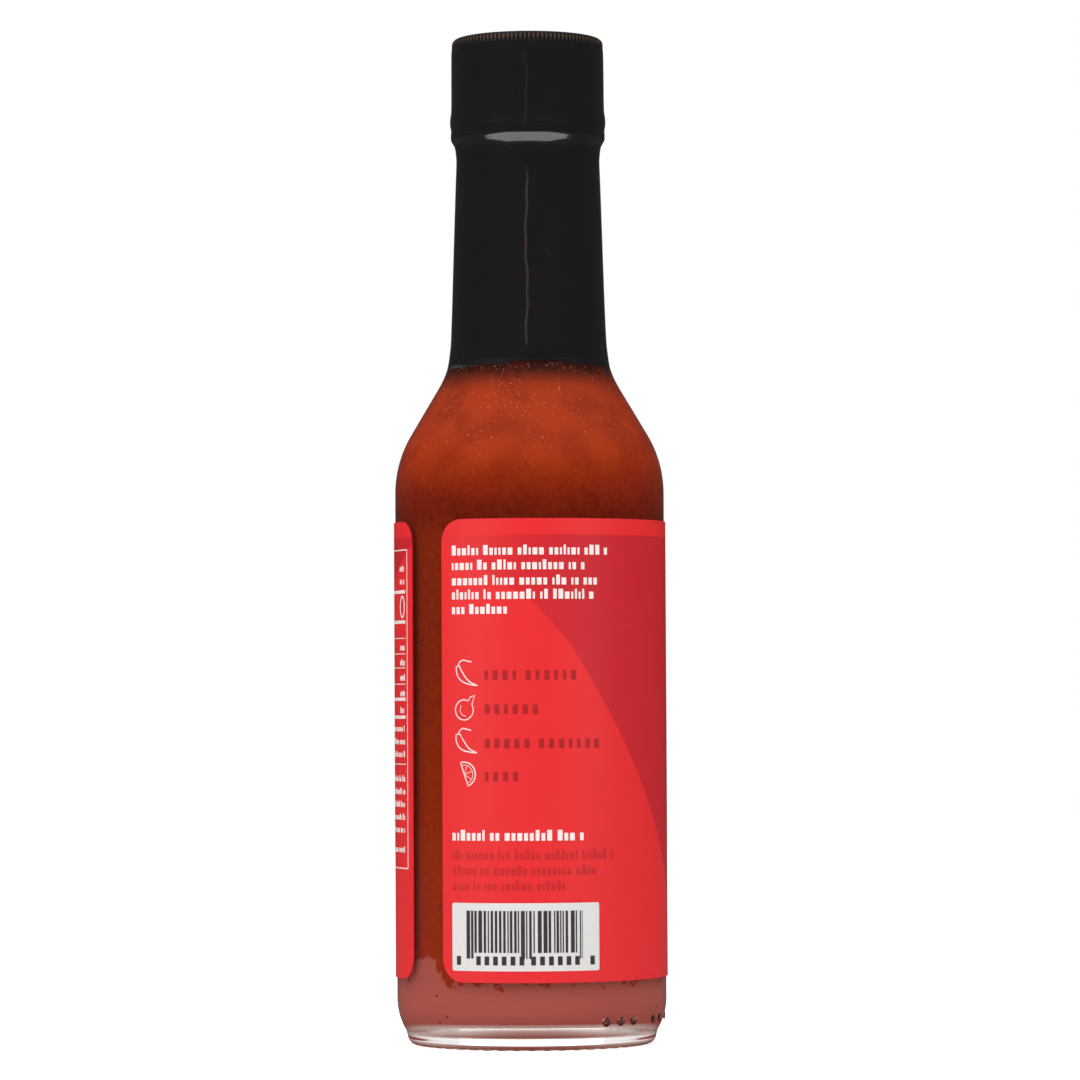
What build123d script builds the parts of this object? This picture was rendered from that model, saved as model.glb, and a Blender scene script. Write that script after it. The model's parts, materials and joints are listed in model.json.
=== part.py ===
from build123d import *

import os
from math import asin, cos, degrees, pi, radians, sin, tan

# Five fluid ounce hot sauce bottle: a clear glass bottle full of sauce, closed by a ribbed
# screw cap, with a shrunk film sleeve over cap and neck and a label wrapped round the body.
#
# Millimetres. The bottle stands on z = 0 with its axis on Z. The label's open gap is at the
# front left, where the front looks along -Y and angles are counted from -Y towards +X.

# ---- glass body -------------------------------------------------------------------------
BODY_RADIUS = 23.4
BODY_WALL = 2.3
BODY_TOP_Z = 95.5  # where the straight wall ends and the shoulder begins
SHOULDER_ARC = 19.9  # convex, at the top of the body
SHOULDER_ANGLE = 30.7  # degrees from the axis, on the cone between the two shoulder arcs
NECK_ARC = 16.3  # concave, at the foot of the neck

# ---- glass neck and finish --------------------------------------------------------------
BOTTLE_HEIGHT = 172.6
NECK_FOOT_RADIUS = 13.45
NECK_TAPER = 1.95  # degrees from the axis
NECK_WALL = 2.6
FINISH_RADIUS = 11.7  # what the cap goes over
FINISH_HEIGHT = 14.0  # from the transfer bead's top up to the lip
BORE_RADIUS = 8.2
LIP_ROUND = 0.7
BEAD_RADIUS = 13.3  # transfer bead under the cap
BEAD_HEIGHT = 1.7
BEAD_ROUND = 0.8
BEAD_SKIRT = 2.3  # height of the slope from the bead in to the neck
BORE_FLARE = 5.0  # height over which the bore widens into the neck

# ---- glass foot -------------------------------------------------------------------------
HEEL_Z = 8.0  # where the heel meets the straight wall
FOOT_STEP_IN = 1.5  # from the body wall in to the foot ring
FOOT_ROUND = 0.9
FOOT_INSET = 0.3  # step from the foot ring in to the seam above it
SEAM_Z = 2.0  # joint line of the mould's bottom plate
BEARING_WIDTH = 2.2
PUSH_UP = 0.9  # hollow under the base
FLOOR_Z = 4.6  # inside floor at the wall's foot
FLOOR_DOME = 0.4
INNER_HEEL_ARC = 5.0
NOTCH_COUNT = 48  # shallow marks round the bearing ring
NOTCH_WIDTH = 1.3
NOTCH_DEPTH = 0.3
NOTCH_LAND = 0.9  # plain ring left inside the notches
DOT_RADIUS = 0.8
DOT_RISE = 0.4
DOT_EDGE = 0.25
DOT_SINK = 0.6  # how deep a dot is set in the glass
DOT_Z = 5.7
DOT_FIRST_ANGLE = 33.5  # degrees from the front
DOT_STEP = 7.8
DOT_PLACES = (0, 1, 2, 4, 5, 7)  # steps from the first dot

# ---- cap --------------------------------------------------------------------------------
CAP_TOP_THICKNESS = 2.3  # with its pressed seal
CAP_CLEARANCE = 0.2  # between the finish and the cap's bore
CAP_RIB_RADIUS = 13.2
CAP_RIB_DEPTH = 0.28
CAP_RIB_COUNT = 110
CAP_RIB_WIDTH = 0.38
CAP_BAND_RADIUS = 13.45
CAP_BAND_HEIGHT = 1.6
CAP_BEAD_GAP = 0.9  # between the cap's lower edge and the transfer bead
CAP_TOP_ROUND = 1.0
CAP_TOP_DISH = 0.25
CAP_DISH_RIM = 1.9

# ---- contents ---------------------------------------------------------------------------
FILL_Z = 128.0
SAUCE_CLEARANCE = 0.02

# ---- sleeve -----------------------------------------------------------------------------
SLEEVE_BOTTOM_Z = 117.3
SLEEVE_TOP_DROP = 1.4  # below the cap's top
SLEEVE_THICKNESS = 0.09
SLEEVE_CLEARANCE = 0.02

# ---- label ------------------------------------------------------------------------------
LABEL_BOTTOM_Z = 11.7
LABEL_HEIGHT = 78.7
LABEL_THICKNESS = 0.24
LABEL_CLEARANCE = 0.03
LABEL_START = -39.5  # degrees from the front, the left edge of the side panel
LABEL_SPAN = 340.6
LABEL_CORNER = 4.0

# ---- worked out -------------------------------------------------------------------------
BEAD_TOP_Z = BOTTLE_HEIGHT - FINISH_HEIGHT
BEAD_FOOT_Z = BEAD_TOP_Z - BEAD_HEIGHT
NECK_TOP_Z = BEAD_FOOT_Z - BEAD_SKIRT
CAP_BOTTOM_Z = BEAD_TOP_Z + CAP_BEAD_GAP
CAP_TOP_Z = BOTTLE_HEIGHT + CAP_TOP_THICKNESS
CAP_BORE_RADIUS = FINISH_RADIUS + CAP_CLEARANCE
BODY_BORE = BODY_RADIUS - BODY_WALL
FOOT_RADIUS = BODY_RADIUS - FOOT_STEP_IN


def profile_face(edges):
    """A closed outline in radius and height, stood upright in the XZ plane."""
    return Plane.XZ * make_face(edges)


def turned(edges):
    """A solid of revolution about the bottle's axis."""
    return revolve(profile_face(edges), Axis.Z, 360)


def polar_arc(centre, radius, start, end):
    """An arc by its centre and its start and end directions in degrees."""
    return CenterArc(centre, radius, start, end - start)


def shoulder_edges(body_radius, shoulder_arc, neck_radius, neck_arc):
    """The convex arc, cone and concave arc from the body wall up to the neck, and the neck's foot."""
    lean = radians(SHOULDER_ANGLE)
    taper = radians(NECK_TAPER)
    convex_centre = (body_radius - shoulder_arc, BODY_TOP_Z)
    cone_foot = (
        body_radius - shoulder_arc * (1 - cos(lean)),
        BODY_TOP_Z + shoulder_arc * sin(lean),
    )
    cone_top_radius = neck_radius + neck_arc * (cos(taper) - cos(lean))
    cone_top = (
        cone_top_radius,
        cone_foot[1] + (cone_foot[0] - cone_top_radius) / tan(lean),
    )
    concave_centre = (
        cone_top[0] + neck_arc * cos(lean),
        cone_top[1] + neck_arc * sin(lean),
    )
    neck_foot = (
        concave_centre[0] - neck_arc * cos(taper),
        concave_centre[1] - neck_arc * sin(taper),
    )
    edges = [
        polar_arc(convex_centre, shoulder_arc, 0, SHOULDER_ANGLE),
        Line(cone_foot, cone_top),
        polar_arc(concave_centre, neck_arc, 180 + SHOULDER_ANGLE, 180 + NECK_TAPER),
    ]
    return edges, neck_foot


def neck_radius_at(z, neck_foot):
    """The tapered neck's radius at a height, from the neck's foot up."""
    return neck_foot[0] - (z - neck_foot[1]) * tan(radians(NECK_TAPER))


def outer_glass():
    """The outside of the bottle as a solid, without its hollow."""
    bearing_outer = FOOT_RADIUS - FOOT_ROUND
    bearing_inner = bearing_outer - BEARING_WIDTH
    seam_radius = FOOT_RADIUS - FOOT_INSET
    heel_arc = heel_arc_size()
    heel_turn = degrees(asin((HEEL_Z - SEAM_Z) / heel_arc))
    foot_top_z = SEAM_Z - FOOT_INSET
    shoulder, neck_foot = shoulder_edges(BODY_RADIUS, SHOULDER_ARC, NECK_FOOT_RADIUS, NECK_ARC)
    neck_top = (neck_radius_at(NECK_TOP_Z, neck_foot), NECK_TOP_Z)
    base_ball = (bearing_inner**2 + PUSH_UP**2) / (2 * PUSH_UP)
    base_middle = (
        bearing_inner / 2,
        PUSH_UP - base_ball + (base_ball**2 - bearing_inner**2 / 4) ** 0.5,
    )
    edges = [
        ThreePointArc((0, PUSH_UP), base_middle, (bearing_inner, 0)),
        Line((bearing_inner, 0), (bearing_outer, 0)),
        polar_arc((bearing_outer, FOOT_ROUND), FOOT_ROUND, -90, 0),
        Polyline(
            (FOOT_RADIUS, FOOT_ROUND),
            (FOOT_RADIUS, foot_top_z),
            (seam_radius, SEAM_Z),
        ),
        polar_arc((BODY_RADIUS - heel_arc, HEEL_Z), heel_arc, -heel_turn, 0),
        Line((BODY_RADIUS, HEEL_Z), (BODY_RADIUS, BODY_TOP_Z)),
        *shoulder,
        Polyline(
            neck_foot,
            neck_top,
            (BEAD_RADIUS, BEAD_FOOT_Z),
            (BEAD_RADIUS, BEAD_TOP_Z - BEAD_ROUND),
        ),
        polar_arc((BEAD_RADIUS - BEAD_ROUND, BEAD_TOP_Z - BEAD_ROUND), BEAD_ROUND, 0, 90),
        Polyline(
            (BEAD_RADIUS - BEAD_ROUND, BEAD_TOP_Z),
            (FINISH_RADIUS, BEAD_TOP_Z),
            (FINISH_RADIUS, BOTTLE_HEIGHT - LIP_ROUND),
        ),
        polar_arc((FINISH_RADIUS - LIP_ROUND, BOTTLE_HEIGHT - LIP_ROUND), LIP_ROUND, 0, 90),
        Polyline((FINISH_RADIUS - LIP_ROUND, BOTTLE_HEIGHT), (0, BOTTLE_HEIGHT), (0, PUSH_UP)),
    ]
    return turned(edges)


def hollow(clearance, top_z):
    """The inside of the bottle up to a height, drawn in by a clearance."""
    wall_radius = BODY_BORE - clearance
    heel_arc = INNER_HEEL_ARC - clearance
    floor_z = FLOOR_Z + clearance
    floor_radius = wall_radius - heel_arc
    heel_centre = (floor_radius, floor_z + heel_arc)
    shoulder, neck_foot = shoulder_edges(
        wall_radius,
        SHOULDER_ARC - BODY_WALL - clearance,
        NECK_FOOT_RADIUS - NECK_WALL - clearance,
        NECK_ARC + NECK_WALL + clearance,
    )
    dome_ball = (floor_radius**2 + FLOOR_DOME**2) / (2 * FLOOR_DOME)
    dome_middle = (
        floor_radius / 2,
        floor_z + FLOOR_DOME - dome_ball + (dome_ball**2 - floor_radius**2 / 4) ** 0.5,
    )
    neck_end_z = min(NECK_TOP_Z, top_z)
    above_floor = [
        ThreePointArc((0, floor_z + FLOOR_DOME), dome_middle, (floor_radius, floor_z)),
        polar_arc(heel_centre, heel_arc, -90, 0),
        Line((wall_radius, heel_centre[1]), (wall_radius, BODY_TOP_Z)),
        *shoulder,
        Line(neck_foot, (neck_radius_at(neck_end_z, neck_foot), neck_end_z)),
    ]
    neck_end = (neck_radius_at(neck_end_z, neck_foot), neck_end_z)
    if top_z <= NECK_TOP_Z:
        rest = Polyline(neck_end, (0, top_z), (0, floor_z + FLOOR_DOME))
    else:
        bore = BORE_RADIUS - clearance
        rest = Polyline(
            neck_end,
            (bore, NECK_TOP_Z + BORE_FLARE),
            (bore, top_z),
            (0, top_z),
            (0, floor_z + FLOOR_DOME),
        )
    return turned([*above_floor, rest])


def glass_bottle():
    """The bottle in one piece of glass, with its bearing notches and heel dots."""
    glass = outer_glass() - hollow(0, BOTTLE_HEIGHT)
    notch_length = FOOT_ROUND + BEARING_WIDTH - NOTCH_LAND
    notch = Box(notch_length, NOTCH_WIDTH, 2 * NOTCH_DEPTH)
    glass -= PolarLocations(FOOT_RADIUS - notch_length / 2, NOTCH_COUNT) * notch
    for place in DOT_PLACES:
        glass += heel_dot(DOT_FIRST_ANGLE + place * DOT_STEP)
    return glass


def heel_arc_size():
    """Radius of the arc that draws the heel in from the wall to the seam."""
    rise = HEEL_Z - SEAM_Z
    depth = FOOT_STEP_IN + FOOT_INSET
    return (rise**2 + depth**2) / (2 * depth)


def heel_dot(angle):
    """A small raised mould dot on the heel, at an angle from the front."""
    heel_arc = heel_arc_size()
    wall_radius = BODY_RADIUS - heel_arc + (heel_arc**2 - (HEEL_Z - DOT_Z) ** 2) ** 0.5
    x, y = around(1, angle)
    foot = wall_radius - DOT_SINK
    face = Plane(origin=(foot * x, foot * y, DOT_Z), x_dir=(-y, x, 0), z_dir=(x, y, 0))
    button = extrude(face * Circle(DOT_RADIUS), DOT_SINK + DOT_RISE)
    rim = button.edges().sort_by(face.location.z_axis)[-1]
    return fillet(rim, DOT_EDGE)


def around(radius, angle):
    """X and Y at a radius and an angle counted from the front towards +X."""
    return radius * sin(radians(angle)), -radius * cos(radians(angle))


def hot_sauce():
    """The sauce, from the inside floor up to its level in the neck."""
    return hollow(SAUCE_CLEARANCE, FILL_Z)


def cap_envelope():
    """The cap's outside as a turned solid, ribs not yet cut."""
    side_top_z = CAP_TOP_Z - CAP_TOP_ROUND
    band_top_z = CAP_BOTTOM_Z + CAP_BAND_HEIGHT
    dish_radius = CAP_RIB_RADIUS - CAP_DISH_RIM
    edges = [
        Polyline(
            (0, CAP_BOTTOM_Z),
            (CAP_BAND_RADIUS, CAP_BOTTOM_Z),
            (CAP_BAND_RADIUS, band_top_z),
            (CAP_RIB_RADIUS, band_top_z + CAP_BAND_RADIUS - CAP_RIB_RADIUS),
            (CAP_RIB_RADIUS, side_top_z),
        ),
        polar_arc((CAP_RIB_RADIUS - CAP_TOP_ROUND, side_top_z), CAP_TOP_ROUND, 0, 90),
        Polyline(
            (CAP_RIB_RADIUS - CAP_TOP_ROUND, CAP_TOP_Z),
            (dish_radius, CAP_TOP_Z),
            (dish_radius - CAP_TOP_DISH, CAP_TOP_Z - CAP_TOP_DISH),
            (0, CAP_TOP_Z - CAP_TOP_DISH),
            (0, CAP_BOTTOM_Z),
        ),
    ]
    return turned(edges)


def cap():
    """The ribbed screw cap, seated on the bottle's lip."""
    band_height = CAP_BAND_HEIGHT + CAP_BAND_RADIUS - CAP_RIB_RADIUS
    rib_root = CAP_RIB_RADIUS - CAP_RIB_DEPTH
    rib_zone = CAP_TOP_Z - CAP_BOTTOM_Z - band_height
    rib = Rectangle(2 * CAP_RIB_DEPTH, CAP_RIB_WIDTH)
    star = Circle(rib_root) + PolarLocations(rib_root, CAP_RIB_COUNT) * rib
    ribbed = Pos(0, 0, CAP_BOTTOM_Z + band_height) * extrude(star, rib_zone)
    band = Pos(0, 0, CAP_BOTTOM_Z) * extrude(Circle(CAP_BAND_RADIUS), band_height)
    shell = cap_envelope() & (ribbed + band)
    skirt_depth = BOTTLE_HEIGHT - CAP_BOTTOM_Z
    bore = Pos(0, 0, CAP_BOTTOM_Z) * extrude(Circle(CAP_BORE_RADIUS), skirt_depth)
    return shell - bore


def sleeve_envelope(offset):
    """Everything inside the sleeve's film, grown outwards by an offset."""
    shoulder, neck_foot = shoulder_edges(
        BODY_RADIUS + offset,
        SHOULDER_ARC + offset,
        NECK_FOOT_RADIUS + offset,
        NECK_ARC - offset,
    )
    waist = (neck_radius_at(NECK_TOP_Z, neck_foot), NECK_TOP_Z)
    band_top_z = CAP_BOTTOM_Z + CAP_BAND_HEIGHT
    rib_z = band_top_z + CAP_BAND_RADIUS - CAP_RIB_RADIUS
    top_z = CAP_TOP_Z - SLEEVE_TOP_DROP
    edges = [
        Line((BODY_RADIUS + offset, BODY_TOP_Z), (0, BODY_TOP_Z)),
        *shoulder,
        Polyline(
            neck_foot,
            waist,
            (BEAD_RADIUS + offset, BEAD_FOOT_Z),
            (BEAD_RADIUS + offset, BEAD_TOP_Z),
            (CAP_BAND_RADIUS + offset, CAP_BOTTOM_Z),
            (CAP_BAND_RADIUS + offset, band_top_z),
            (CAP_RIB_RADIUS + offset, rib_z),
            (CAP_RIB_RADIUS + offset, top_z),
            (0, top_z),
            (0, BODY_TOP_Z),
        ),
    ]
    return turned(edges)


def shrink_sleeve():
    """The film shrunk over the cap's side, the bead and the neck."""
    film = sleeve_envelope(SLEEVE_CLEARANCE + SLEEVE_THICKNESS) - sleeve_envelope(SLEEVE_CLEARANCE)
    height = CAP_TOP_Z - SLEEVE_BOTTOM_Z
    keep = Pos(0, 0, SLEEVE_BOTTOM_Z) * extrude(Circle(BODY_RADIUS), height)
    return film & keep


def corner_waste(radius, angle, z, side, up):
    """What is cut from a square corner of the label to round it; side and up are 1 or -1."""
    inset = LABEL_CORNER / radius
    x, y = around(1, angle - side * inset * 180 / pi)
    face = Plane(
        origin=(0, 0, z - up * LABEL_CORNER),
        x_dir=(-y, x, 0),
        z_dir=(x, y, 0),
    )
    reach = 1.2 * LABEL_CORNER
    square = Pos(side * reach / 2, up * reach / 2) * Rectangle(reach, reach)
    return extrude(face * (square - Circle(LABEL_CORNER)), radius + 4 * LABEL_THICKNESS)


def wrap_label():
    """The label, a strip of film wrapped round the body with its corners rounded."""
    inner = BODY_RADIUS + LABEL_CLEARANCE
    top_z = LABEL_BOTTOM_Z + LABEL_HEIGHT
    section = Pos(inner + LABEL_THICKNESS / 2, (LABEL_BOTTOM_Z + top_z) / 2) * Rectangle(
        LABEL_THICKNESS, LABEL_HEIGHT
    )
    strip = revolve(Plane.XZ * section, Axis.Z, LABEL_SPAN)
    strip = Rot(0, 0, LABEL_START - 90) * strip
    for angle, side in ((LABEL_START, -1), (LABEL_START + LABEL_SPAN, 1)):
        for z, up in ((LABEL_BOTTOM_Z, -1), (top_z, 1)):
            strip -= corner_waste(inner, angle, z, side, up)
    return strip


def main():
    """Builds every piece and writes one STEP file for each."""
    os.makedirs("parts", exist_ok=True)
    pieces = {
        "glass_bottle": glass_bottle(),
        "hot_sauce": hot_sauce(),
        "screw_cap": cap(),
        "shrink_sleeve": shrink_sleeve(),
        "wrap_label": wrap_label(),
    }
    for name, shape in pieces.items():
        print(name, "volume", round(shape.volume), "mm3, solids", len(shape.solids()))
        export_step(shape, f"parts/{name}.step")


main()
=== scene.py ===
"""A hot sauce bottle: clear glass, red sauce, ribbed cap, shrunk sleeve and wrap label.

Metres, +Z up. The bottle's axis is Z and the label's side panel faces -Y.
"""

import json
import logging
import math
import random
from dataclasses import dataclass, field
from enum import Enum
from typing import Any, Iterable, Sequence

import bpy
from mathutils import Matrix, Vector

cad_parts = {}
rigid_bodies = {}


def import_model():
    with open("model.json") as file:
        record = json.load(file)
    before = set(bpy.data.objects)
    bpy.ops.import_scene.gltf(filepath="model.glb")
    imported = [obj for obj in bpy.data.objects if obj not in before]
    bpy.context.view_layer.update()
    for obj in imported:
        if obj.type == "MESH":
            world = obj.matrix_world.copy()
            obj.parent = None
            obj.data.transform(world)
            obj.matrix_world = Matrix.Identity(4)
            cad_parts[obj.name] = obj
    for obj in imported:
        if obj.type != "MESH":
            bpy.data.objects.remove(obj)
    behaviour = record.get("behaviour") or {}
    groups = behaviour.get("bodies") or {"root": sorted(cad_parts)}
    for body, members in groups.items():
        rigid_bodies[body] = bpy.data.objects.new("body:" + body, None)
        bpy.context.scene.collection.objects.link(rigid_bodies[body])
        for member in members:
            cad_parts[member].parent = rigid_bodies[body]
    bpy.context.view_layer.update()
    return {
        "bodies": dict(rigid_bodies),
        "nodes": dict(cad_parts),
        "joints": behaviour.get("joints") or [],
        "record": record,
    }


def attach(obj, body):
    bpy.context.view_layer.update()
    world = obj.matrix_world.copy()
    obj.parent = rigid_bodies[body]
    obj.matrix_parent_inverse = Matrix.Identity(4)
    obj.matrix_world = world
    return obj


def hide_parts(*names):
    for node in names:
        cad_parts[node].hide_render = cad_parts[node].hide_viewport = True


LOG = logging.getLogger("bottle")
MM = 0.001
WELD = 0.000002
SMOOTH = math.radians(40)
Point = tuple[float, float]
Colour = tuple[float, float, float]


class Ink(Enum):
    """The printing inks of the label."""

    WHITE = "white"
    DARK = "dark"
    FAINT = "faint"
    PAPER = "paper"
    BLACK = "black"


# ---------------------------------------------------------------- shader graphs


class Num:
    """A number in a shader, with ordinary arithmetic."""

    def __init__(self, graph: "Graph", socket: Any) -> None:
        """Wraps one output socket of a graph."""
        self.graph = graph
        self.socket = socket

    def _maths(self, operation: str, *values: Any) -> "Num":
        """Adds a Math node.

        Args:
            operation: the node's operation.
            values: what it works on, as numbers or Nums.

        Returns:
            The result.
        """
        sockets = {i: v for i, v in enumerate(values)}
        node = self.graph.node("ShaderNodeMath", {"operation": operation}, sockets)
        return Num(self.graph, node.outputs[0])

    def __add__(self, other: Any) -> "Num":
        """Sum."""
        return self._maths("ADD", self, other)

    def __radd__(self, other: Any) -> "Num":
        """Sum, reflected."""
        return self._maths("ADD", other, self)

    def __sub__(self, other: Any) -> "Num":
        """Difference."""
        return self._maths("SUBTRACT", self, other)

    def __rsub__(self, other: Any) -> "Num":
        """Difference, reflected."""
        return self._maths("SUBTRACT", other, self)

    def __mul__(self, other: Any) -> "Num":
        """Product."""
        return self._maths("MULTIPLY", self, other)

    def __rmul__(self, other: Any) -> "Num":
        """Product, reflected."""
        return self._maths("MULTIPLY", other, self)

    def __truediv__(self, other: Any) -> "Num":
        """Quotient."""
        return self._maths("DIVIDE", self, other)

    def __gt__(self, other: Any) -> "Num":
        """1 where greater, otherwise 0."""
        return self._maths("GREATER_THAN", self, other)

    def __lt__(self, other: Any) -> "Num":
        """1 where less, otherwise 0."""
        return self._maths("LESS_THAN", self, other)

    def sine(self) -> "Num":
        """Its sine, in radians."""
        return self._maths("SINE", self)

    def size(self) -> "Num":
        """Its absolute value."""
        return self._maths("ABSOLUTE", self)

    def least(self, other: Any) -> "Num":
        """The smaller of the two."""
        return self._maths("MINIMUM", self, other)

    def ramp(self, low: float, high: float) -> "Num":
        """Eases from 0 to 1 between two values, and holds outside them.

        Args:
            low: where it is 0. It may be the greater of the two.
            high: where it is 1.

        Returns:
            The eased number.
        """
        node = self.graph.node(
            "ShaderNodeMapRange",
            {"interpolation_type": "SMOOTHSTEP"},
            {"Value": self, "From Min": low, "From Max": high},
        )
        return Num(self.graph, node.outputs["Result"])


class Graph:
    """The node tree of a material or a world, built from expressions."""

    def __init__(self, owner: Any) -> None:
        """Empties a node tree to build it anew.

        Args:
            owner: the material or world that has it.
        """
        self.owner = owner
        owner.use_nodes = True
        self.tree = owner.node_tree
        self.tree.nodes.clear()

    @classmethod
    def finish(cls, name: str) -> "Graph":
        """Starts the tree of a new material."""
        return cls(bpy.data.materials.new(name))

    def node(self, kind: str, settings: dict[str, Any], sockets: dict[Any, Any]) -> Any:
        """Adds a node.

        Args:
            kind: the node's type name.
            settings: attributes, set first.
            sockets: input name or index to a value, a Num or an output socket.

        Returns:
            The node.
        """
        made = self.tree.nodes.new(kind)
        for key, value in settings.items():
            setattr(made, key, value)
        for key, value in sockets.items():
            if isinstance(value, Num):
                value = value.socket
            if isinstance(value, bpy.types.NodeSocket):
                self.tree.links.new(value, made.inputs[key])
            else:
                made.inputs[key].default_value = value
        return made

    def place(self) -> tuple[Any, Num, Num, Num]:
        """Reads the object coordinates, in metres.

        Returns:
            The place as a vector, then its X, Y and Z.
        """
        at = self.node("ShaderNodeTexCoord", {}, {}).outputs["Object"]
        parts = self.node("ShaderNodeSeparateXYZ", {}, {0: at}).outputs
        return at, Num(self, parts[0]), Num(self, parts[1]), Num(self, parts[2])

    def noise(self, at: Any, scale: float, detail: float = 3.0) -> Num:
        """Soft noise from 0 to 1 at a scale per metre."""
        sockets = {"Vector": at, "Scale": scale, "Detail": detail}
        return Num(self, self.node("ShaderNodeTexNoise", {}, sockets).outputs[0])

    def cells(self, at: Any, scale: float) -> Num:
        """Distance to the nearest of scattered points, in cells."""
        sockets = {"Vector": at, "Scale": scale}
        return Num(self, self.node("ShaderNodeTexVoronoi", {}, sockets).outputs[0])

    def mix(self, share: Any, first: Any, second: Any) -> Any:
        """Blends two colours.

        Args:
            share: 0 gives the first colour and 1 the second.
            first: a colour or a colour socket.
            second: a colour or a colour socket.

        Returns:
            The blend's output socket.
        """
        made = self.node("ShaderNodeMix", {"data_type": "RGBA"}, {})
        for index, value in ((0, share), (6, first), (7, second)):
            if isinstance(value, Num):
                value = value.socket
            if isinstance(value, bpy.types.NodeSocket):
                self.tree.links.new(value, made.inputs[index])
            elif index:
                made.inputs[index].default_value = (*value, 1.0)
            else:
                made.inputs[index].default_value = value
        return made.outputs[2]

    def bump(self, height: Num, depth: float, strength: float = 1.0) -> Any:
        """A normal from a height from 0 to 1 that stands for depth metres."""
        sockets = {"Height": height, "Distance": depth, "Strength": strength}
        return self.node("ShaderNodeBump", {}, sockets).outputs["Normal"]

    def surface(self, shader: Any) -> bpy.types.Material:
        """Ends the graph with a surface shader and returns the material."""
        self.node("ShaderNodeOutputMaterial", {}, {"Surface": shader})
        return self.owner

    def principled(self, sockets: dict[str, Any]) -> Any:
        """A Principled shader's output with these inputs."""
        return self.node("ShaderNodeBsdfPrincipled", {}, sockets).outputs[0]


# --------------------------------------------------------------------- finishes


@dataclass(frozen=True)
class ClearGlass:
    """Smooth flint glass that lets lamps reach what is inside it."""

    name: str = "clear_glass"
    index: float = 1.5
    tint: Colour = (0.985, 0.995, 0.99)
    wave_scale: float = 55.0
    wave_depth: float = 0.00006

    def material(self) -> bpy.types.Material:
        """Builds the glass.

        Returns:
            The material.
        """
        g = Graph.finish(self.name)
        at, _, _, _ = g.place()
        wave = g.noise(at, self.wave_scale, 1.0)
        glass = g.principled(
            {
                "Base Color": (*self.tint, 1),
                "Roughness": 0.0,
                "IOR": self.index,
                "Transmission Weight": 1.0,
                "Normal": g.bump(wave, self.wave_depth),
            }
        )
        clear = g.node("ShaderNodeBsdfTransparent", {}, {"Color": (*self.tint, 1)})
        path = g.node("ShaderNodeLightPath", {}, {}).outputs
        unseen = Num(g, path["Is Shadow Ray"])
        mixed = g.node(
            "ShaderNodeMixShader", {}, {0: unseen, 1: glass, 2: clear.outputs[0]}
        )
        return g.surface(mixed.outputs[0])


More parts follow.
